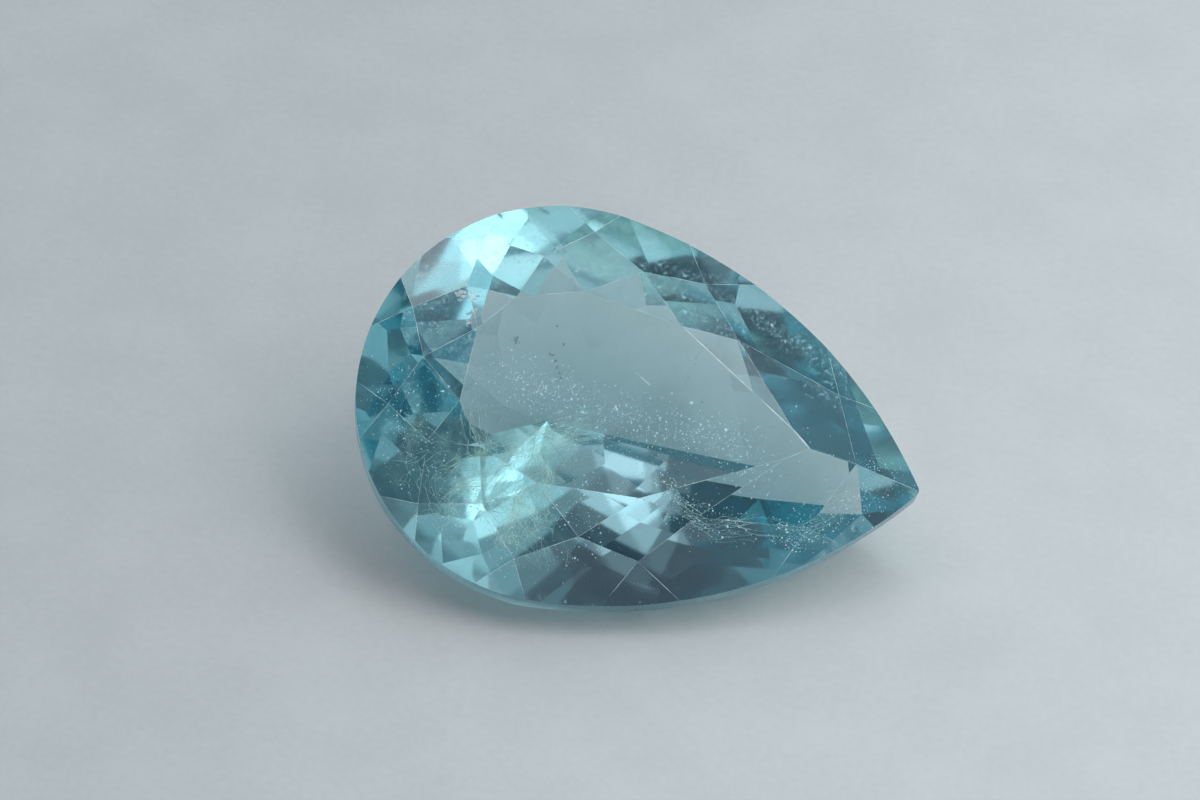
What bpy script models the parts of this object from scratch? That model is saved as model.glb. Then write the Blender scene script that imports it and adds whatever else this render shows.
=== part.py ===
"""Loose pear-cut gemstone, lying on one of its lower facets with the table turned up.

The stone is made the way a cutter makes it. A preform with the outline of the girdle is ground
against one flat plane after another. Most facets are set by meet points: a facet has to touch
the girdle at its own azimuth, and its slope follows from the point where its neighbours meet.
Everything is worked out with the girdle level and the head at the origin, then the finished
stone is tipped over onto the facet that it rests on.
"""

import math

import bmesh
import bpy
from mathutils import Matrix, Vector

MM = 0.001

# Girdle outline from above: a round head, two long flank arcs, and a slightly blunted point.
HEAD_RADIUS = 8.88 * MM
FLANK_START = math.radians(84.5)
FLANK_RADIUS = 21.15 * MM
POINT_RADIUS = 0.30 * MM
ARC_STEP = math.radians(2.5)

# Heights, measured from the upper edge of the girdle.
TABLE_HEIGHT = 2.72 * MM
GIRDLE_THICKNESS = 1.1 * MM
CULET_PLACE = -0.35 * MM
CULET_DEPTH = 7.73 * MM

# Crown: table corners and star tips of one side, from the head to the point.
TABLE_CORNERS = [(-4.24, 1.68), (-2.93, 3.44), (-0.14, 4.39), (4.26, 3.94), (9.96, 0.67)]
TABLE_POINT = 10.88 * MM
STAR_TIPS = [
    (-6.22, 0.00, 2.10),
    (-5.17, 3.55, 2.02),
    (-2.24, 5.68, 2.00),
    (2.11, 6.08, 2.03),
    (6.83, 4.06, 2.25),
]
CROWN_MAINS = [180.0, 144.8, 110.0, 80.6, 61.3]
CROWN_BREAKS = [164.3, 131.5, 93.2, 72.5]
CROWN_POINT_MAIN = 42.0
CROWN_POINT_BREAK = 51.0
CROWN_RIDGE_END = 13.0 * MM

# Pavilion: four rows of facets, from the culet up to the girdle. A facet is its azimuth and the
# height where it touches the girdle; a depth or a place on the keel sets where its row starts.
KEEL_MAINS = [161.5, 136.0, 106.0, 79.5, 69.5]
MAIN_START = 2.26
KEEL_BEND = 2.15
LOWER_ROW = [(180.0, 2.0), (151.0, 1.84), (127.0, 1.98), (93.0, 1.74), (75.5, 1.78), (66.5, 2.0)]
LOWER_DEPTHS = [6.55, 6.05, 6.4, 6.8, 6.55]
LOWER_KEEL = 5.45
UPPER_ROW = [(172.0, 1.62), (142.0, 1.26), (113.5, 1.28), (84.5, 1.28), (71.5, 1.48), (58.0, 1.5)]
UPPER_KEEL = 8.55
BREAK_AZIMUTHS = [180.0, 154.5, 122.0, 103.0, 76.5, 63.0]
POINT_MAIN = (46.0, 1.1)
POINT_KEEL = 12.95
POINT_BREAK = 43.5
POINT_BREAK_DEPTH = 1.5
RESTING_FACET = 4

MEET_TOLERANCE = 0.002 * MM


def outline():
    """Points round the girdle, anticlockwise, as (x, y)."""
    offset = FLANK_RADIUS - HEAD_RADIUS
    centre_x = -offset * math.cos(FLANK_START)
    centre_y = offset * math.sin(FLANK_START)
    nose_x = centre_x + math.sqrt((FLANK_RADIUS - POINT_RADIUS) ** 2 - centre_y**2)
    nose_turn = math.asin(centre_y / (FLANK_RADIUS - POINT_RADIUS))
    arcs = [
        ((nose_x, 0.0), POINT_RADIUS, -nose_turn, nose_turn, 6),
        ((centre_x, -centre_y), FLANK_RADIUS, nose_turn, FLANK_START, 0),
        ((0.0, 0.0), HEAD_RADIUS, FLANK_START, 2 * math.pi - FLANK_START, 0),
        ((centre_x, centre_y), FLANK_RADIUS, -FLANK_START, -nose_turn, 0),
    ]
    points = []
    for (x, y), radius, start, end, count in arcs:
        steps = count or round((end - start) / ARC_STEP * (radius / HEAD_RADIUS) ** 0.5)
        for i in range(steps):
            turn = start + (end - start) * i / steps
            points.append((x + radius * math.cos(turn), y + radius * math.sin(turn)))
    return points


GIRDLE = outline()


def sideways(azimuth):
    """Level unit vector that points to an azimuth in degrees; 0 is the point of the pear."""
    return Vector((math.cos(math.radians(azimuth)), math.sin(math.radians(azimuth)), 0.0))


def reach(azimuth):
    """Distance from the head centre to the line that touches the girdle at an azimuth."""
    out = sideways(azimuth)
    return max(x * out.x + y * out.y for x, y in GIRDLE)


def facet_from_girdle(point, azimuth, height):
    """Plane that touches the girdle outline at this azimuth and height and holds the point."""
    out = sideways(azimuth)
    run = reach(azimuth) - point.dot(out)
    rise = point.z - height
    normal = (out * abs(rise) + Vector((0.0, 0.0, math.copysign(run, rise)))).normalized()
    return normal, normal.dot(point)


def facet_through(a, b, c):
    """Plane that holds three points of the crown."""
    normal = (b - a).cross(c - a).normalized()
    if normal.z < 0:
        normal.negate()
    return normal, normal.dot(a)


def mirrored(facet):
    """The same facet on the other side of the stone's axis."""
    normal, distance = facet
    return Vector((normal.x, -normal.y, normal.z)), distance


def meet(*facets):
    """Point where three planes meet."""
    normals = Matrix([normal for normal, distance in facets])
    return normals.inverted() @ Vector([distance for normal, distance in facets])


def level(height):
    return Vector((0.0, 0.0, 1.0)), height


def both_sides(facets):
    """Facets of one side followed by their mirror images; one across the axis stays single."""
    others = [mirrored(facet) for facet in facets if abs(facet[0].y) > 1e-6]
    return facets + others


def crown():
    """Stars round the table, then kites, then the two rows that run down to the girdle."""
    corners = [Vector((x * MM, y * MM, TABLE_HEIGHT)) for x, y in TABLE_CORNERS]
    tips = [Vector((x * MM, y * MM, z * MM)) for x, y, z in STAR_TIPS]
    first = corners[0]
    behind = [Vector((first.x, -first.y, first.z))] + corners
    stars = [facet_through(behind[i], behind[i + 1], tips[i]) for i in range(len(tips))]
    kites = [facet_through(corners[i], tips[i], tips[i + 1]) for i in range(len(tips) - 1)]
    kites.append(facet_through(corners[-1], tips[-1], Vector((TABLE_POINT, 0.0, TABLE_HEIGHT))))

    mains = [facet_from_girdle(tip, azimuth, 0.0) for tip, azimuth in zip(tips, CROWN_MAINS)]
    across = (Vector((1.0, 0.0, 0.0)), CROWN_RIDGE_END)
    ridge_end = meet(kites[-1], mirrored(kites[-1]), across)
    mains.append(facet_from_girdle(ridge_end, CROWN_POINT_MAIN, 0.0))
    breaks = []
    for i, azimuth in enumerate(CROWN_BREAKS + [CROWN_POINT_BREAK]):
        corner = meet(kites[i], mains[i], mains[i + 1])
        breaks.append(facet_from_girdle(corner, azimuth, 0.0))
    return both_sides(stars + kites + mains + breaks)


def on_keel(facet, along):
    """Point where a facet meets its mirror image, this far from the head centre."""
    return meet(facet, mirrored(facet), (Vector((1.0, 0.0, 0.0)), along * MM))


def rising(point, touch):
    """Facet that starts at the point and touches the girdle at an azimuth and a height."""
    azimuth, height = touch
    return facet_from_girdle(point, azimuth, -height * MM)


def pavilion_mains():
    """Large facets round the culet, and the longer pair that carries the keel on."""
    culet = Vector((CULET_PLACE, 0.0, -CULET_DEPTH))
    mains = [rising(culet, (azimuth, MAIN_START)) for azimuth in KEEL_MAINS[:-1]]
    mains.append(rising(on_keel(mains[-1], KEEL_BEND), (KEEL_MAINS[-1], MAIN_START)))
    return mains


def lower_row():
    """Lozenges that start on the edges between the mains; the stone rests on one of them."""
    mains = pavilion_mains()
    neighbours = zip([mirrored(mains[0])] + mains, mains)
    starts = [meet(*pair, level(-depth * MM)) for pair, depth in zip(neighbours, LOWER_DEPTHS)]
    starts.append(on_keel(mains[-1], LOWER_KEEL))
    return [rising(start, touch) for start, touch in zip(starts, LOWER_ROW)]


def pavilion():
    """Mains, two rows of lozenges, the break facets under the girdle, and those of the point."""
    mains = pavilion_mains()
    lower = lower_row()
    starts = [meet(*three) for three in zip(mains, lower, lower[1:])]
    starts.append(on_keel(lower[-1], UPPER_KEEL))
    upper = [rising(start, touch) for start, touch in zip(starts, UPPER_ROW)]
    starts = [meet(*three) for three in zip(lower, [mirrored(upper[0])] + upper, upper)]
    breaks = [
        facet_from_girdle(start, azimuth, -GIRDLE_THICKNESS)
        for start, azimuth in zip(starts, BREAK_AZIMUTHS)
    ]
    point_main = rising(on_keel(upper[-1], POINT_KEEL), POINT_MAIN)
    tip = meet(point_main, mirrored(point_main), level(-POINT_BREAK_DEPTH * MM))
    point_break = facet_from_girdle(tip, POINT_BREAK, -GIRDLE_THICKNESS)
    return both_sides(mains + lower + upper + breaks + [point_main, point_break])


def preform():
    """Upright block with the outline of the girdle; its flat top is the table."""
    block = bmesh.new()
    floor = -CULET_DEPTH - 1.0 * MM
    low = [block.verts.new((x, y, floor)) for x, y in GIRDLE]
    high = [block.verts.new((x, y, TABLE_HEIGHT)) for x, y in GIRDLE]
    block.faces.new(high)
    block.faces.new(list(reversed(low)))
    for i in range(len(GIRDLE)):
        following = (i + 1) % len(GIRDLE)
        block.faces.new((low[i], low[following], high[following], high[i]))
    return block


def grind(stone, facet):
    """Takes away all that stands above the facet's plane and closes the stone with a flat face."""
    normal, distance = facet
    cut = bmesh.ops.bisect_plane(
        stone,
        geom=stone.verts[:] + stone.edges[:] + stone.faces[:],
        dist=MEET_TOLERANCE,
        plane_co=normal * distance,
        plane_no=normal,
        clear_outer=True,
    )
    rim = [item for item in cut["geom_cut"] if isinstance(item, bmesh.types.BMEdge)]
    open_rim = [edge for edge in rim if edge.is_boundary]
    if open_rim:
        bmesh.ops.contextual_create(stone, geom=open_rim)


def lay_down(stone, facet):
    """Tips the stone onto the facet, long axis along X, and centres it over the origin."""
    normal, _ = facet
    tip = normal.rotation_difference(Vector((0.0, 0.0, -1.0))).to_matrix()
    long_axis = tip @ Vector((1.0, 0.0, 0.0))
    heading = Matrix.Rotation(-math.atan2(long_axis.y, long_axis.x), 3, "Z")
    bmesh.ops.transform(stone, matrix=(heading @ tip).to_4x4(), verts=stone.verts)
    xs, ys, zs = zip(*(vert.co for vert in stone.verts))
    shift = Vector((-(min(xs) + max(xs)) / 2, -(min(ys) + max(ys)) / 2, -min(zs)))
    bmesh.ops.translate(stone, vec=shift, verts=stone.verts)


def gem_material():
    """Clear blue-green stone."""
    material = bpy.data.materials.new("blue_green_gem")
    material.use_nodes = True
    shader = material.node_tree.nodes["Principled BSDF"]
    shader.inputs["Base Color"].default_value = (0.28, 0.60, 0.68, 1.0)
    shader.inputs["Roughness"].default_value = 0.02
    shader.inputs["Metallic"].default_value = 0.0
    shader.inputs["IOR"].default_value = 1.62
    shader.inputs["Transmission Weight"].default_value = 1.0
    material.diffuse_color = (0.28, 0.60, 0.68, 1.0)
    return material


def clear_scene():
    for item in list(bpy.data.objects):
        bpy.data.objects.remove(item, do_unlink=True)


clear_scene()
collection = bpy.data.collections.new("pear_cut_gemstone")
bpy.context.scene.collection.children.link(collection)

stone = preform()
for facet in crown() + pavilion():
    grind(stone, facet)
lay_down(stone, mirrored(lower_row()[RESTING_FACET]))
bmesh.ops.recalc_face_normals(stone, faces=stone.faces)

mesh = bpy.data.meshes.new("gemstone")
stone.to_mesh(mesh)
stone.free()
mesh.materials.append(gem_material())
for polygon in mesh.polygons:
    polygon.use_smooth = False
collection.objects.link(bpy.data.objects.new("gemstone", mesh))
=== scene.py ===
# %% [markdown]
# This lesson dresses one loose gemstone for its portrait. The stone is a pear cut: round at the
# head, pointed at the other end, with a broad flat table on top. It is one clear piece, so nearly
# all of its look comes from light that bends, bounces and is filtered inside it.
# The cut itself comes ready made. It is loaded as a fixed frame and never moved or reshaped.

# %% Load the stone
import math
import random

import bmesh
import bpy
from mathutils import Matrix, Vector, noise


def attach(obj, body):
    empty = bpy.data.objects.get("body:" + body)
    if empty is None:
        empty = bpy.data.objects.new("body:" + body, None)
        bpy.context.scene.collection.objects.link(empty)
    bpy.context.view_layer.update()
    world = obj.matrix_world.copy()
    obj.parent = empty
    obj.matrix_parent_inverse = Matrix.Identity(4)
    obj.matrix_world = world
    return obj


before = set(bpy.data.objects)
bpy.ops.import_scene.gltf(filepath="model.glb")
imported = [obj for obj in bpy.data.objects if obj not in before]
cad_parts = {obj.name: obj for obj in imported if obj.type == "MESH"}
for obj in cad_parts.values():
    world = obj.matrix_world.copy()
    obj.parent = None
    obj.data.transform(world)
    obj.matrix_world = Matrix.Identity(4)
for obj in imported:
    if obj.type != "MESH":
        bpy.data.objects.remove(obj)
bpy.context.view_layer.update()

MM = 0.001
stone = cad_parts["gemstone"]

# %% [markdown]
# Every measure on a cut stone is taken from its own axes: the long axis runs from the round head
# to the point, and the table lies square to the upright axis. The stone was laid down on a lower
# facet, so these axes are tilted. The widest flat face gives them back: it is the table, and its
# sharpest corner points along the long axis. Heights count from the top of the girdle, the narrow
# wall round the widest part.

# %% Find the stone's own axes
TABLE_HEIGHT = 2.72
TABLE_POINT = 10.88
FLAT_SLACK = 0.001 * MM


def find_stone_axes(mesh):
    """Matrix from millimetres in the stone's own axes to the scene."""
    table = max(mesh.polygons, key=lambda face: face.area if face.normal.z > 0.5 else 0.0)
    upright = table.normal.copy()
    level = upright.dot(mesh.vertices[table.vertices[0]].co)
    corners = [v.co for v in mesh.vertices if abs(upright.dot(v.co) - level) < FLAT_SLACK]
    middle = sum(corners, Vector()) / len(corners)
    point = max(corners, key=lambda corner: (corner - middle).length)
    along = (point - middle).normalized()
    across = upright.cross(along)
    origin = point - along * TABLE_POINT * MM - upright * TABLE_HEIGHT * MM
    turn = Matrix((along, across, upright)).transposed().to_4x4()
    return Matrix.Translation(origin) @ turn @ Matrix.Scale(MM, 4)


STONE = find_stone_axes(stone.data)
STONE_TURN = STONE.to_3x3() * (1.0 / MM)
UPRIGHT = STONE_TURN.col[2]
print("the table leans", round(math.degrees(UPRIGHT.angle(Vector((0, 0, 1)))), 1), "degrees")

# %% [markdown]
# The camera stands where the photographer stood, a little in front of the table and looking
# almost straight into it. The lens is long, which keeps the facets free of perspective. The
# target and the distance are millimetres in the stone's own axes, and the angles are degrees.

# %% Camera
TARGET = Vector((1.63, 0.41, -0.13))
CAMERA_LEAN = 14.74
CAMERA_SIDE = -91.3
CAMERA_ROLL = 16.37
CAMERA_DISTANCE = 280.0
CAMERA_NEAR = 10.0 * MM
LENS = 193.4


def camera_axes():
    """Right, up and backwards of the camera, in the stone's own axes."""
    lean, side, roll = (math.radians(a) for a in (CAMERA_LEAN, CAMERA_SIDE, CAMERA_ROLL))
    outward = Vector((math.cos(side), math.sin(side), 0.0))
    back = outward * math.sin(lean) + Vector((0.0, 0.0, math.cos(lean)))
    level = Vector((-math.sin(side), math.cos(side), 0.0))
    rise = back.cross(level)
    right = level * math.cos(roll) + rise * math.sin(roll)
    return right, back.cross(right), back


camera = bpy.data.objects.new("camera", bpy.data.cameras.new("camera"))
bpy.context.scene.collection.objects.link(camera)
right_axis, up_axis, back_axis = camera_axes()
spot = STONE @ (TARGET + back_axis * CAMERA_DISTANCE)
turn = Matrix([STONE_TURN @ a for a in (right_axis, up_axis, back_axis)]).transposed().to_4x4()
camera.matrix_world = Matrix.Translation(spot) @ turn
camera.data.lens = LENS
camera.data.clip_start = CAMERA_NEAR
bpy.context.scene.camera = camera
print("camera looks down at", round(math.degrees(math.asin((STONE_TURN @ back_axis).z)), 1), "degrees")

# %% [markdown]
# Materials are written here as sums and products. The class below wraps one output of a node.
# Its operators add Math nodes, so that a mask can be written the way it would be said aloud.

# %% Node outputs that can be added and multiplied
class Value:
    """One node output, with arithmetic."""

    def __init__(self, tree, output):
        self.tree = tree
        self.output = output

    def node(self, kind, settings=None, **inputs):
        """Adds any other node to the same tree; an input may be a Value or a plain number."""
        return add_node(self.tree, kind, settings, **inputs)

    def math(self, operation, *others):
        """Adds a Math node that takes this value first."""
        node = self.tree.nodes.new("ShaderNodeMath")
        node.operation = operation
        for socket, value in zip(node.inputs, (self, *others)):
            plug(self.tree, socket, value)
        return Value(self.tree, node.outputs[0])

    def __add__(self, other):
        return self.math("ADD", other)

    def __sub__(self, other):
        return self.math("SUBTRACT", other)

    def __rsub__(self, other):
        return self * -1.0 + other

    def __mul__(self, other):
        return self.math("MULTIPLY", other)

    def __pow__(self, other):
        return self.math("POWER", other)

    __radd__ = __add__
    __rmul__ = __mul__

    def between(self, low, high):
        """0 below low, 1 above high, a soft step from one to the other."""
        return self.node("ShaderNodeMapRange", {"interpolation_type": "SMOOTHSTEP"},
                         Value=self, From_Min=low, From_Max=high)

    def tint(self, dark, light):
        """A colour that runs from dark to light with this value."""
        return self.node("ShaderNodeMix", {"data_type": "RGBA"}, output=2,
                         Factor=self, i6=(*dark, 1.0), i7=(*light, 1.0))


def plug(tree, socket, value):
    """Links a Value into a socket, or sets the socket to a plain value."""
    if isinstance(value, Value):
        tree.links.new(value.output, socket)
    else:
        socket.default_value = value


def add_node(tree, kind, settings=None, output=0, **inputs):
    """A node of a kind, with its settings and its inputs by name or by number (i6 is input 6)."""
    node = tree.nodes.new(kind)
    for name, value in (settings or {}).items():
        setattr(node, name, value)
    for name, value in inputs.items():
        key = int(name[1:]) if name[1:].isdigit() else name.replace("_", " ")
        plug(tree, node.inputs[key], value)
    return Value(tree, node.outputs[output])


print("shader sums ready:", [name for name in vars(Value) if not name.startswith("__")])

# %% [markdown]
# A new material in Blender comes with nodes of its own. These helpers start from an empty tree,
# wire its last node, and give every finish its places: where a point is in the scene, and a noise
# that is fixed to the scene. Most of a noise lies near its middle, so a soft step over that
# middle part turns it into patches with clear tones.

# %% Materials, places and noise
NOISE_MIDDLE = (0.35, 0.65)


def new_material(name):
    """An empty material and its node tree."""
    material = bpy.data.materials.new(name)
    material.use_nodes = True
    material.node_tree.nodes.clear()
    return material, material.node_tree


def wire_output(tree, surface, volume=None):
    """The last node of a material."""
    output = tree.nodes.new("ShaderNodeOutputMaterial")
    tree.links.new(surface.output, output.inputs["Surface"])
    if volume:
        tree.links.new(volume.output, output.inputs["Volume"])


def point_place(tree):
    """The place of a point in metres."""
    return add_node(tree, "ShaderNodeTexCoord", output=3)


def grain(tree, scale, detail=2.0, stretch=None, **inputs):
    """Noise fixed to the scene, in cells per metre; stretch scales it along the three axes."""
    place = point_place(tree)
    if stretch:
        place = place.node("ShaderNodeVectorMath", {"operation": "MULTIPLY"}, i0=place, i1=stretch)
    return place.node("ShaderNodeTexNoise", Vector=place, Scale=scale, Detail=detail, **inputs)


print("noise is stretched over", NOISE_MIDDLE)

# %% [markdown]
# The stone is clear and bends light strongly, with an index of 1.62. It isn't painted blue-green:
# red light is soaked up on its way through, so the long paths near the point look deep teal and
# the short ones through the middle look almost grey. The crown is polished. The girdle was left
# with a fine satin finish. The lower facets are polished too on the real stone, but the lens was
# focused on the crown and shows them a little soft. A trace of roughness stands in for that blur,
# because a blur from the camera would also take away the crisp outline.

# %% The clear stone
REFRACTIVE_INDEX = 1.62
SOAK_COLOUR = (0.325, 0.745, 0.81, 1.0)
SOAK_PER_METRE = 80.0
GIRDLE_LOW = -1.05
GIRDLE_HIGH = -0.03
GIRDLE_BLEND = 0.03
POLISH_ROUGHNESS = 0.006
PAVILION_ROUGHNESS = 0.06
GIRDLE_ROUGHNESS = 0.22
ZONE_SCALE = 140.0
ZONE_TONES = ((0.95, 0.985, 0.985), (1.0, 1.0, 1.0))

clear_stone, tree = new_material("clear_blue_green_stone")
place = point_place(tree)
rise = place.node("ShaderNodeVectorMath", {"operation": "DOT_PRODUCT"}, output=1,
                  i0=place, i1=tuple(UPRIGHT / MM))
height = rise - STONE.translation.dot(UPRIGHT) / MM
over_pavilion = height.between(GIRDLE_LOW - GIRDLE_BLEND, GIRDLE_LOW)
on_girdle = over_pavilion * (1.0 - height.between(GIRDLE_HIGH, GIRDLE_HIGH + GIRDLE_BLEND))
softness = (1.0 - over_pavilion) * PAVILION_ROUGHNESS
shader = add_node(
    tree, "ShaderNodeBsdfPrincipled",
    Base_Color=grain(tree, ZONE_SCALE, 0.0).between(*NOISE_MIDDLE).tint(*ZONE_TONES),
    Roughness=on_girdle * GIRDLE_ROUGHNESS + softness + POLISH_ROUGHNESS,
    IOR=REFRACTIVE_INDEX, Transmission_Weight=1.0,
)
soak = add_node(tree, "ShaderNodeVolumeAbsorption", Color=SOAK_COLOUR, Density=SOAK_PER_METRE)
wire_output(tree, shader, soak)
for slot in stone.material_slots:
    slot.material = clear_stone
print("stone dressed, faces:", len(stone.data.polygons))

# %% [markdown]
# Natural stones are full of small guests: milky wisps where cracks healed, grains and bubbles.
# Each kind becomes one joined mesh inside the stone. The shapes are drawn in the stone's own
# millimetres and moved into place at the end, so they are easy to read off a sketch.

# %% A helper that turns a drawing into a piece of the stone
def place_inside(form, name, material):
    """Moves a drawing from stone millimetres into the scene as one piece of the stone."""
    bmesh.ops.transform(form, matrix=STONE, verts=form.verts)
    mesh = bpy.data.meshes.new(name)
    form.to_mesh(mesh)
    form.free()
    mesh.materials.append(material)
    piece = bpy.data.objects.new(name, mesh)
    bpy.context.scene.collection.objects.link(piece)
    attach(piece, "root")
    print(name, "faces:", len(mesh.polygons))


print("stone millimetres start at", tuple(round(v / MM, 2) for v in STONE.translation), "mm")

# %% [markdown]
# A guest sits behind clear walls, so only bent light reaches it, and a path tracer finds that
# light slowly. Real veils scatter it from all sides. A little emission stands in for this
# scattered light, so that the pale guests stay pale on every side of the stone.

# %% A finish for the guests
GUEST_SCALE = 2500.0


def guest_material(name, dark, light, roughness, glow, alpha=None):
    """A two-tone surface with some scattered light; see-through where alpha is low."""
    material, tree = new_material(name)
    tone = grain(tree, GUEST_SCALE).between(*NOISE_MIDDLE).tint(dark, light)
    shader = add_node(tree, "ShaderNodeBsdfPrincipled", Base_Color=tone, Roughness=roughness,
                      Emission_Color=tone, Emission_Strength=glow)
    if alpha:
        plug(tree, shader.output.node.inputs["Alpha"], alpha(tree))
    wire_output(tree, shader)
    return material


print("tone cells of a guest in mm:", 1.0 / GUEST_SCALE / MM)

# %% [markdown]
# Specks are tiny crystals. An eight-sided grain is enough, because each one covers hardly a
# pixel: what the eye sees is the drift that they form.

# %% Grains and drifts of them
SIZE_SPREAD = 0.45


def add_grain(form, middle, size, dice):
    """One eight-sided grain of its own proportions and turn."""
    angle = dice.uniform(0, math.tau)
    spin = Matrix.Rotation(angle, 3, Vector((dice.gauss(0, 1), dice.gauss(0, 1), 1)))
    reach = [size * dice.uniform(0.5, 1.3) for _ in range(3)]
    tips = []
    for axis in range(3):
        for side in (-1.0, 1.0):
            arm = Vector()
            arm[axis] = side * reach[axis]
            tips.append(form.verts.new(middle + spin @ arm))
    for x in (0, 1):
        for y in (2, 3):
            for z in (4, 5):
                corner = (tips[x], tips[y], tips[z])
                form.faces.new(corner if (x + y + z) % 2 else corner[::-1])


def drift(form, path, spread, count, size, dice):
    """Grains scattered about a path of points; spread is the scatter along x, y and z."""
    for _ in range(count):
        step = dice.uniform(0, len(path) - 1.001)
        start, end = Vector(path[int(step)]), Vector(path[int(step) + 1])
        off = Vector(dice.gauss(0, s) for s in spread)
        own_size = size * math.exp(dice.gauss(0, SIZE_SPREAD))
        add_grain(form, start.lerp(end, step % 1) + off, own_size, dice)


print("two grains in three keep within this factor of their size:", round(math.exp(SIZE_SPREAD), 2))

# %% [markdown]
# The specks crowd along the keel, the lower ridge of the stone. That drift shows through the
# table as a band of dust. Others follow the edge towards the point, and a loose cloud fills the
# head. A drift is a path with a scatter about it, because crystals settle along a growth face and
# not evenly.

# %% Drifts of specks
DRIFTS = {
    # piece: path, scatter, grains, size
    "keel_specks": [
        ([(-2.2, 0.6, -2.4), (-0.6, 0.5, -2.9), (1.8, 0.2, -3.1), (4.4, 0.0, -2.9),
          (6.6, 0.2, -2.6), (8.8, 0.0, -2.2)], (0.9, 0.62, 0.35), 1700, 0.019),
    ],
    "point_specks": [
        ([(5.0, -2.3, -1.5), (6.4, -2.9, -1.3), (8.4, -2.9, -1.5)],
         (0.6, 0.38, 0.3), 330, 0.018),
        ([(10.4, -2.8, -1.5), (11.5, -1.8, -1.4), (12.7, -0.6, -1.3), (14.4, 0.2, -1.0)],
         (0.6, 0.42, 0.25), 460, 0.018),
        ([(10.8, -2.9, -1.5), (11.2, -2.9, -1.5)], (0.22, 0.16, 0.2), 80, 0.015),
    ],
    "head_specks": [
        ([(-6.4, -1.0, -0.8), (-5.2, -3.4, -1.2), (-2.8, -5.0, -1.5), (0.4, -5.4, -1.5),
          (3.0, -3.4, -1.6)], (0.9, 0.9, 0.4), 900, 0.017),
        ([(-3.5, -0.5, -1.2), (-1.0, -1.2, -1.8), (2.5, -1.0, -2.0)],
         (1.2, 0.6, 0.5), 420, 0.014),
    ],
}
dice = random.Random(11)
white_grain = guest_material("pale_grain", (0.55, 0.72, 0.74), (0.85, 0.96, 0.98), 0.35, 0.60)
for name, drifts in DRIFTS.items():
    form = bmesh.new()
    for path, spread, count, size in drifts:
        drift(form, path, spread, count, size, dice)
    place_inside(form, name, white_grain)

# %% [markdown]
# The milky wisps in the head are made of very fine fibres. Each fibre is a thin tube with four
# sides. At a hundredth of a millimetre nobody sees the corners, and round tubes would cost many
# more faces.

# %% A fine fibre
def add_thread(form, points, radius, sides=4):
    """A fine tube through the points, thinned towards both ends."""
    rings = []
    for i, point in enumerate(points):
        ahead = (points[min(i + 1, len(points) - 1)] - points[max(i - 1, 0)]).normalized()
        side = ahead.orthogonal().normalized()
        other = ahead.cross(side)
        thin = radius * (0.25 + 0.75 * math.sin(math.pi * (i + 0.5) / len(points)))
        rings.append([
            form.verts.new(point + (side * math.cos(a) + other * math.sin(a)) * thin)
            for a in (math.tau * k / sides for k in range(sides))
        ])
    for near, far in zip(rings, rings[1:]):
        for k in range(sides):
            following = (k + 1) % sides
            form.faces.new((near[k], near[following], far[following], far[k]))
    form.faces.new(rings[0][::-1])
    form.faces.new(rings[-1])


print("fibre helper ready")

# %% [markdown]
# The fibres lie in sheaves, fanned out along a few sweeping lines. A smooth curve through a few
# points gives such a line. Each fibre wanders off it with smooth noise, so neighbours stay alike
# and the sheaf reads as one silky band. Blender starts its vector noise from the clock unless it
# is given a seed, so it gets one here, and every run draws the same fibres.

# %% A sheaf of fibres
WANDER_SCALE = 0.9
SHIVER_SCALE = 1.6
FIBRE_SEED = 4
noise.seed_set(FIBRE_SEED)


def along(path, place):
    """Point at a place from 0 to 1 on a smooth line through the path."""
    step = min(max(place, 0.0), 0.999) * (len(path) - 1)
    i = int(step)
    t = step - i
    a, b, c, d = (Vector(path[min(max(i + k, 0), len(path) - 1)]) for k in (-1, 0, 1, 2))
    slope, bend, twist = c - a, 2 * a - 5 * b + 4 * c - d, 3 * b - a - 3 * c + d
    return 0.5 * (2 * b + slope * t + bend * t**2 + twist * t**3)


def sheaf(form, path, width, count, dice, radius=0.005, steps=9):
    """Fibres along a path, fanned out within a width."""
    for _ in range(count):
        begin = dice.uniform(0.0, 0.85)
        end = begin + dice.uniform(0.10, 0.35)
        seat = Vector(dice.gauss(0, width) for _ in range(3))
        seed = dice.uniform(0, 50)
        points = []
        for i in range(steps):
            point = along(path, begin + (end - begin) * i / (steps - 1))
            wander = noise.noise_vector(point * WANDER_SCALE + seat) * width * 1.8
            shiver = noise.noise_vector(point * SHIVER_SCALE + Vector((seed, 0, 0))) * width * 0.9
            points.append(point + seat + wander + shiver)
        add_thread(form, points, radius * dice.uniform(0.5, 1.6))


print("a fibre wanders once in", round(1.0 / WANDER_SCALE, 1), "mm")

# %% [markdown]
# Two dense sheaves sweep down the head and make its bright silk. The others are loose: they cross
# them, or run low along the edge towards the point.

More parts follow.
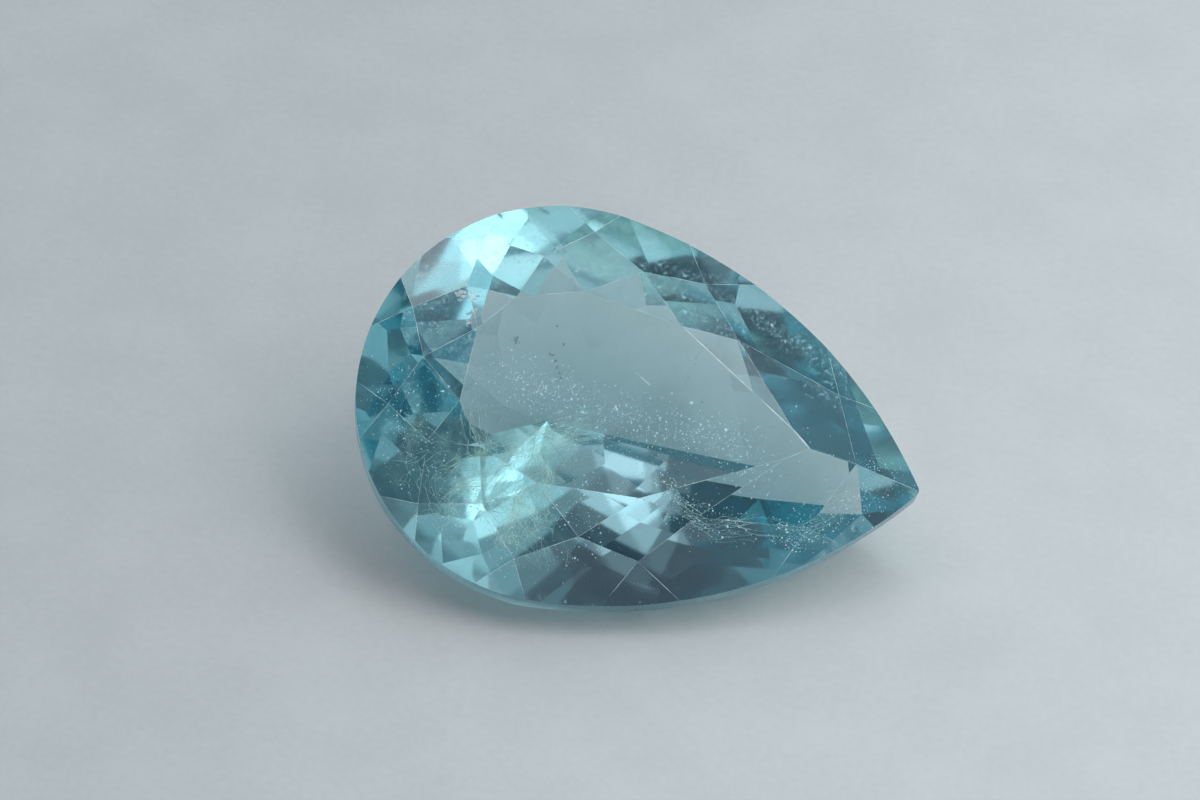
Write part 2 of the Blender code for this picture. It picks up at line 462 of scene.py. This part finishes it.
# %% Milky wisps
WISPS = [
    # path, width, fibres
    ([(1.9, -0.8, -1.3), (0.3, -1.6, -1.3), (-1.1, -2.8, -1.1), (-1.8, -3.4, -1.4),
      (-2.6, -4.6, -1.5)], 0.34, 230),
    ([(0.9, -1.1, -1.4), (0.0, -2.7, -1.2), (-0.2, -4.1, -1.5), (-0.4, -6.3, -1.3)], 0.38, 300),
    ([(-4.0, -0.5, -0.2), (-3.1, -2.5, -0.6), (-2.1, -3.9, -1.3), (-1.8, -5.3, -1.6)], 0.20, 30),
    ([(-5.5, -4.6, -1.1), (-4.0, -3.7, -1.0), (-2.2, -2.9, -0.9), (-0.8, -2.3, -0.9)], 0.36, 30),
    ([(-4.0, -6.0, -1.2), (-2.8, -4.9, -1.6), (-1.4, -4.5, -1.4), (0.1, -5.0, -1.5),
      (1.0, -6.3, -1.5)], 0.36, 110),
    ([(-5.9, -2.3, -1.3), (-4.6, -3.2, -1.6), (-4.2, -5.0, -1.3), (-2.9, -6.6, -1.2)], 0.46, 22),
    ([(4.6, -2.4, -1.4), (6.4, -2.9, -1.2), (8.4, -2.9, -1.5), (10.4, -2.6, -1.5)], 0.24, 34),
    ([(11.0, -2.2, -1.4), (12.6, -0.6, -1.3), (13.6, 0.5, -0.9), (14.6, 0.3, -1.0)], 0.22, 14),
]
dice = random.Random(5)
form = bmesh.new()
for path, width, count in WISPS:
    sheaf(form, path, width, count, dice)
silk = guest_material("milky_fibre", (0.44, 0.66, 0.62), (0.80, 0.95, 0.88), 0.5, 0.32)
place_inside(form, "milky_threads", silk)

# %% [markdown]
# Behind the wisps hang veils, the healed cracks themselves. A veil is a thin curved sheet, because
# a crack has an area but next to no thickness. The sheet carries its own chart, which is needed
# to fade it out towards its rim. A slow wave and a finer ripple keep it from lying flat.

# %% A curved sheet with a chart
WAVE_SCALE = 0.7
RIPPLE_SCALE = 2.6


def add_sheet(form, uvs, middle, size, turn, tilt, bend, seed, steps=28):
    """A thin curved sheet with its own 0 to 1 chart."""
    pose = Matrix.Rotation(math.radians(turn), 3, "Z") @ Matrix.Rotation(math.radians(tilt), 3, "X")
    rows = []
    for i in range(steps + 1):
        row = []
        for j in range(steps + 1):
            u, v = i / steps, j / steps
            flat = Vector(((u - 0.5) * size[0], (v - 0.5) * size[1], 0.0))
            lift = noise.noise(flat * WAVE_SCALE + Vector((seed, 0, 0))) * bend * 2
            lift += noise.noise(flat * RIPPLE_SCALE + Vector((0, seed, 0))) * bend * 0.35
            vert = form.verts.new(Vector(middle) + pose @ (flat + Vector((0, 0, lift))))
            row.append((vert, u, v))
        rows.append(row)
    for i in range(steps):
        for j in range(steps):
            ring = [rows[i][j], rows[i + 1][j], rows[i + 1][j + 1], rows[i][j + 1]]
            face = form.faces.new([corner[0] for corner in ring])
            for loop, (_, u, v) in zip(face.loops, ring):
                loop[uvs].uv = (u, v)


print("a veil waves once in", round(1.0 / WAVE_SCALE, 1), "mm")

# %% [markdown]
# A veil isn't a sheet of paint: it is cloudy and streaked, so the facets behind it show through
# the gaps. Its opacity is a product of three masks: a fade towards the rim, fine streaks, and
# larger clouds. A volume could look the same, but it would be traced far more slowly.

# %% Cloudy opacity
def veil_alpha(strength, streak_scale):
    """Opacity of a veil: streaks and clouds, faded out towards the rim of the chart."""
    def alpha(tree):
        chart = add_node(tree, "ShaderNodeUVMap")
        u, v = (chart.node("ShaderNodeSeparateXYZ", output=i, Vector=chart) for i in (0, 1))
        fade = (u * (1.0 - u) * v * (1.0 - v) * 16.0).between(0.05, 0.9)
        streaks = grain(tree, streak_scale, 5.0, (1.0, 0.35, 1.0), Distortion=0.6)
        clouds = grain(tree, streak_scale * 0.3, 3.0)
        return (fade * (streaks.between(0.44, 0.70) * 0.75 + 0.25)
                * clouds.between(0.36, 0.66) * strength)
    return alpha


print("opacity helper ready")

# %% [markdown]
# Five milky green veils overlap in the head. A bluer, brighter one lies where the light gathers,
# above the bright facets in the middle: its lighter tones and stronger glow are painted light for
# that gathered light. A sheet has faded to nothing at its rim, so it does no harm that one corner
# passes through the wall of the stone.

# %% Veils
VEILS = [
    # middle, size along and across, turn about z, tilt, bend
    ((-1.7, -2.7, -1.0), (4.2, 3.2), 10, 12, 0.25),
    ((-1.0, -3.0, -1.4), (5.4, 3.4), 35, 20, 0.35),
    ((-0.8, -4.8, -1.6), (3.4, 4.6), -8, 18, 0.35),
    ((-3.8, -4.2, -1.5), (4.6, 4.2), 40, 15, 0.30),
    ((-4.6, -2.0, -1.2), (3.2, 3.8), 20, 20, 0.30),
]
HALO = [((2.2, -1.5, -1.2), (5.2, 2.1), 10, 15, 0.20)]
SEED_STEP = 3.7

milky = guest_material("milky_veil", (0.26, 0.48, 0.46), (0.60, 0.80, 0.74), 0.6, 0.18,
                       veil_alpha(0.72, 1500.0))
# Painted light: the halo's lighter tones and stronger glow stand in for the light that gathers there.
halo = guest_material("painted_glow_halo", (0.46, 0.68, 0.74), (0.72, 0.92, 1.0), 0.6, 0.42,
                      veil_alpha(0.62, 900.0))
for name, sheets, material in (("milky_veils", VEILS, milky), ("painted_glow_halo", HALO, halo)):
    form = bmesh.new()
    uvs = form.loops.layers.uv.new("chart")
    for number, (middle, size, turn, tilt, bend) in enumerate(sheets):
        add_sheet(form, uvs, middle, size, turn, tilt, bend, number * SEED_STEP)
    place_inside(form, name, material)

# %% [markdown]
# Under the table float a few darker grains, some of them in a row. Each is a little heap of the
# same eight-sided grains, which gives it a ragged outline.

# %% Dark grains
DARK_GRAINS = [
    # middle, size
    ((-2.56, 1.79, -0.55), 0.13), ((-1.01, 2.87, -0.49), 0.06), ((-0.55, 2.26, -1.10), 0.05),
    ((-0.89, 1.75, -1.68), 0.08), ((-0.70, 1.50, -1.78), 0.07), ((-0.55, 1.30, -1.85), 0.07),
    ((-0.38, 1.10, -1.93), 0.06), ((-0.25, 0.90, -2.00), 0.06), ((5.92, 1.34, -0.92), 0.05),
]
GRAINS_IN_HEAP = 9

dice = random.Random(23)
form = bmesh.new()
for middle, size in DARK_GRAINS:
    for _ in range(GRAINS_IN_HEAP):
        off = Vector(dice.gauss(0, size * 0.6) for _ in range(3))
        add_grain(form, Vector(middle) + off, size * dice.uniform(0.25, 0.6), dice)
shade = guest_material("dark_grain", (0.14, 0.26, 0.29), (0.28, 0.42, 0.45), 0.3, 0.18)
place_inside(form, "dark_grains", shade)

# %% [markdown]
# A cleft is a crack seen from its edge, so it shows as a faint grey line. Two of them lie under
# the table. They are narrow sheaves of fibres, which are uneven along their length as a crack is.

# %% Clefts
CLEFTS = [
    # path, width, fibres, radius
    ([(5.4, 3.6, 0.7), (5.2, 2.8, 0.5), (4.9, 1.5, 0.3)], 0.03, 20, 0.010),
    ([(-1.3, -0.9, -0.9), (-0.6, -1.7, -0.8), (0.6, -2.6, -0.6), (1.7, -3.5, -0.3)],
     0.02, 12, 0.007),
]


def cleft_alpha(tree):
    """Opacity of a cleft: thin everywhere, with denser patches."""
    return grain(tree, 900.0).between(*NOISE_MIDDLE) * 0.35 + 0.1


form = bmesh.new()
for path, width, count, radius in CLEFTS:
    sheaf(form, path, width, count, dice, radius)
haze = guest_material("cleft_haze", (0.40, 0.52, 0.56), (0.62, 0.74, 0.78), 0.4, 0.20, cleft_alpha)
place_inside(form, "pale_cleft", haze)

# %% [markdown]
# Two tiny breaks catch the light: a sliver under the middle of the table, and a larger flaked
# chip under the crown beside it. Both are broken surfaces, so they are made of thin, tilted
# scales that lie close together. A flat plate would shine all at once. These shine one by one.

# %% Bright scales
CHIP = [
    # middle, scatter, scales
    ((-4.95, 2.85, 1.25), (0.26, 0.15, 0.05), 12),
    ((-4.55, 2.05, 1.60), (0.10, 0.20, 0.05), 8),
]
SLIVER_MIDDLE = Vector((3.1, 1.45, 0.6))
SLIVER_STEP = Vector((0.10, -0.045, 0.0))
SLIVER_HALF = 4


def add_scale(form, middle, size, dice):
    """One thin, crooked scale with five to seven corners and a slight thickness."""
    lean = Matrix.Rotation(dice.gauss(0, 0.35), 3, "X") @ Matrix.Rotation(dice.gauss(0, 0.35), 3, "Y")
    count = dice.randint(5, 7)
    rim = []
    for k in range(count):
        turn = math.tau * k / count + dice.uniform(-0.25, 0.25)
        reach = size * dice.uniform(0.5, 1.1)
        rim.append(Vector((math.cos(turn) * reach, math.sin(turn) * reach * 0.6, 0.0)))
    thick = Vector((0.0, 0.0, size * 0.06))
    upper = [form.verts.new(middle + lean @ (corner + thick)) for corner in rim]
    lower = [form.verts.new(middle + lean @ (corner - thick)) for corner in rim]
    form.faces.new(upper)
    form.faces.new(lower[::-1])
    for k in range(count):
        following = (k + 1) % count
        form.faces.new((lower[k], lower[following], upper[following], upper[k]))


dice = random.Random(31)
form = bmesh.new()
for middle, spread, count in CHIP:
    for _ in range(count):
        off = Vector(dice.gauss(0, s) for s in spread)
        add_scale(form, Vector(middle) + off, dice.uniform(0.10, 0.26), dice)
for step in range(-SLIVER_HALF, SLIVER_HALF + 1):
    spot = SLIVER_MIDDLE + SLIVER_STEP * step + Vector((0.0, 0.0, dice.gauss(0, 0.02)))
    add_scale(form, spot, dice.uniform(0.05, 0.10), dice)
bright = guest_material("bright_scale", (0.42, 0.54, 0.60), (0.86, 0.92, 0.98), 0.2, 0.34)
place_inside(form, "bright_scales", bright)

# %% [markdown]
# The edges between the facets of a loose stone are never quite sharp: years in a parcel with
# other stones wear them to a hair-thin pale line. The line follows the crown's own edges, which
# are read from the mesh, so it fits the cut whatever its facets are.

# %% Find the crown's edges
WELD = 0.0005 * MM
CROWN_FACING = 0.4
WEAR_ANGLE = math.radians(2.5)


def crown_edges(mesh):
    """Ends of the edges, in stone millimetres, where two facets of the crown meet."""
    to_stone = STONE.inverted()
    form = bmesh.new()
    form.from_mesh(mesh)
    bmesh.ops.remove_doubles(form, verts=form.verts, dist=WELD)
    found = []
    for edge in form.edges:
        facing = [face.normal.dot(UPRIGHT) for face in edge.link_faces]
        if len(facing) == 2 and min(facing) > CROWN_FACING and edge.calc_face_angle() > WEAR_ANGLE:
            found.append([to_stone @ vert.co for vert in edge.verts])
    form.free()
    return found


edges = crown_edges(stone.data)
print("crown edges:", len(edges))

# %% [markdown]
# Each worn edge is a thread like the fibres, half sunk in the stone. Noise breaks it up, because
# wear is uneven. The long edge of the table that faces the point is knocked harder than the rest.

# %% Worn edges
WEAR_RADIUS = 0.009
KNOCKED_RADIUS = 0.034
KNOCKED_FROM_X = 2.0
KNOCKED_FROM_Y = 0.25
TABLE_SLACK = 0.01
WEAR_STEP = 0.25


def is_knocked(start, end):
    """True on the long edge of the table that faces the point, where the wear is strongest."""
    middle = (start + end) / 2
    on_table = min(start.z, end.z) > TABLE_HEIGHT - TABLE_SLACK
    return on_table and middle.x > KNOCKED_FROM_X and middle.y > KNOCKED_FROM_Y


def wear_alpha(tree):
    """Opacity of a worn edge: strong patches with faint stretches between them."""
    return grain(tree, 700.0, 4.0).between(0.36, 0.60) * 0.8 + 0.1


form = bmesh.new()
for start, end in edges:
    count = max(2, round((end - start).length / WEAR_STEP))
    points = [start.lerp(end, i / count) for i in range(count + 1)]
    add_thread(form, points, KNOCKED_RADIUS if is_knocked(start, end) else WEAR_RADIUS)
worn = guest_material("worn_edge", (0.66, 0.80, 0.82), (0.92, 0.98, 1.0), 0.4, 0.25, wear_alpha)
place_inside(form, "worn_edges", worn)

# %% [markdown]
# The stone lies on a seamless sheet of pale matt paper. Its colour is painted a little lighter
# towards the lamp: painted light, for the lamp's falloff over the sheet. Under the stone its colour
# is painted darker in patches: painted shade, for the uneven shadow and bent light there. Seen
# through the stone, these patches show the eye that it looks through many facets: each one bends
# its own patch of paper into view. The tooth of the paper is only a bump, because it is far too
# fine to be seen as a shape.

# %% Paper
PAPER_PAINTED_DIM = (0.68, 0.69, 0.70)
PAPER_PAINTED_LIT = (0.95, 0.95, 0.95)
PAPER_FADE = 34.0 * MM
TOOTH_SCALE = 2600.0
TOOTH_DEPTH = 0.1 * MM
PULP_SCALE = 220.0
PATCH_SCALE = 330.0
PATCH_NEAR = 4.5 * MM
PATCH_FAR = 8.0 * MM

paper, tree = new_material("pale_paper")
place = point_place(tree)
tooth = grain(tree, TOOTH_SCALE)
bump = add_node(tree, "ShaderNodeBump", Strength=0.15, Distance=TOOTH_DEPTH, Height=tooth)
# Painted light: the paper's colour runs from its dim tone to its lit tone towards the lamp, for the
# lamp's falloff.
lamp_way = STONE_TURN @ (right_axis - up_axis * 0.5) / PAPER_FADE
painted_lamp_light = place.node("ShaderNodeVectorMath", {"operation": "DOT_PRODUCT"}, output=1,
                 i0=place, i1=lamp_way)
painted_lamp_light = (painted_lamp_light * 0.5 + 0.5).between(0.0, 1.0)
pulp = (grain(tree, PULP_SCALE) * 0.6 + tooth * 0.4).between(0.3, 0.7)
# Painted shade: darker patches in the paper's colour under the stone stand in for its uneven shadow
# and bent light.
reach = place.node("ShaderNodeVectorMath", {"operation": "LENGTH"}, output=1, i0=place)
under_stone = 1.0 - reach.between(PATCH_NEAR, PATCH_FAR)
painted_shade_patches = grain(tree, PATCH_SCALE, 1.0).between(0.42, 0.58) * under_stone
tone = painted_lamp_light * 0.8 + pulp * 0.2 - painted_shade_patches * 0.4
shader = add_node(tree, "ShaderNodeBsdfPrincipled", Roughness=1.0, Specular_IOR_Level=0.0,
                  Normal=bump, Base_Color=tone.tint(PAPER_PAINTED_DIM, PAPER_PAINTED_LIT))
wire_output(tree, shader)
print("dull patches end in mm:", PATCH_FAR / MM)

# %% [markdown]
# The sheet is one large flat square. It lies a hair below the resting facet: if the two lay in
# one plane, Blender couldn't tell the stone from the paper there, and black patches would show.

# %% Floor
PAPER_GAP = 0.03 * MM
PAPER_HALF = 1.5

form = bmesh.new()
bmesh.ops.create_grid(form, x_segments=1, y_segments=1, size=PAPER_HALF)
mesh = bpy.data.meshes.new("paper_floor")
form.to_mesh(mesh)
form.free()
mesh.materials.append(paper)
floor = bpy.data.objects.new("paper_floor", mesh)
floor.location.z = -PAPER_GAP
bpy.context.scene.collection.objects.link(floor)
print("paper side in m:", 2 * PAPER_HALF)

# %% [markdown]
# The light is a plain studio: a pale room, and in it large soft glows where lamps shine through
# cloth. A clear stone shows the room twice, once as a mirror and once through its facets, so the
# glows are placed by what they do in the stone. They fade out softly, which leaves the light in
# the facets without hard edges. A glow is the closeness of a direction to its own, raised to a
# power: the higher the power, the tighter the glow. The room itself is lighter on the side of
# the window. A negative colour takes light away, and dims the room overhead.

# %% Light
LAMP_TINT = (0.94, 1.12, 1.18)
ROOM_LEVEL = (0.01, 0.03, 0.05)
ROOM_RIGHT = (0.15, 0.13, 0.12)
ROOM_BACK = (0.08, 0.10, 0.10)
ROOM_TOP = (-0.04, -0.06, -0.06)
GLOWS = [
    # azimuth, elevation, tightness, colour
    (135, 33, 150, (2.45, 1.85, 1.65)),
    (95, 56, 48, (1.45, 1.60, 1.60)),
    (357, 59, 10, (1.72, 1.45, 1.34)),
    (169, 67, 41, (1.95, 1.35, 1.28)),
    (45, 66, 26, (1.10, 1.20, 1.20)),
    (283, 40, 59, (1.15, 1.25, 1.25)),
    (339, 54, 105, (2.00, 1.40, 1.20)),
    (38, 21, 9, (0.42, 0.55, 0.58)),
]


def toward(azimuth, elevation):
    """Direction from the stone to a place in the room, from two angles in degrees."""
    az, el = math.radians(azimuth), math.radians(elevation)
    return Vector((math.cos(el) * math.cos(az), math.cos(el) * math.sin(az), math.sin(el)))


def add_light(light, amount, colour):
    """Adds an amount of coloured light to a sum of light."""
    more = amount.node("ShaderNodeVectorMath", {"operation": "SCALE"}, i0=colour, Scale=amount)
    return light.node("ShaderNodeVectorMath", {"operation": "ADD"}, i0=light, i1=more)


room = bpy.data.worlds.new("pale_room")
room.use_nodes = True
tree = room.node_tree
way = add_node(tree, "ShaderNodeTexCoord", output=0)
right, back, top = (way.node("ShaderNodeSeparateXYZ", output=i, Vector=way) for i in range(3))
light = add_node(tree, "ShaderNodeCombineXYZ", X=ROOM_LEVEL[0], Y=ROOM_LEVEL[1], Z=ROOM_LEVEL[2])
light = add_light(light, right * 0.5 + 0.5, ROOM_RIGHT)
light = add_light(light, back * 0.5 + 0.5, ROOM_BACK)
light = add_light(light, top.math("MAXIMUM", 0.0), ROOM_TOP)
for azimuth, elevation, tightness, colour in GLOWS:
    facing = way.node("ShaderNodeVectorMath", {"operation": "DOT_PRODUCT"}, output=1,
                      i0=way, i1=toward(azimuth, elevation))
    light = add_light(light, facing.math("MAXIMUM", 0.0) ** tightness, colour)
light = light.node("ShaderNodeVectorMath", {"operation": "MULTIPLY"}, i0=light, i1=LAMP_TINT)
plug(tree, tree.nodes["Background"].inputs["Color"], light)
scene = bpy.context.scene
scene.world = room
print("glows in the room:", len(GLOWS))

# %% [markdown]
# Light takes many turns inside a cut stone before it leaves, so the path tracer is given enough
# bounces. The plain view transform keeps the pale tones as they are.

# %% How the light is traced
LONGEST_PATH = 18
CLEAR_TURNS = 16
SEE_THROUGH_TURNS = 8

scene.view_settings.view_transform = "Standard"
scene.cycles.max_bounces = LONGEST_PATH
scene.cycles.transmission_bounces = CLEAR_TURNS
scene.cycles.glossy_bounces = CLEAR_TURNS
scene.cycles.transparent_max_bounces = SEE_THROUGH_TURNS
print("longest light path in turns:", scene.cycles.max_bounces)

# %% [markdown]
# The guests lie inside the box of the bare stone, and the worn edges stand out of the stone by a
# hair.
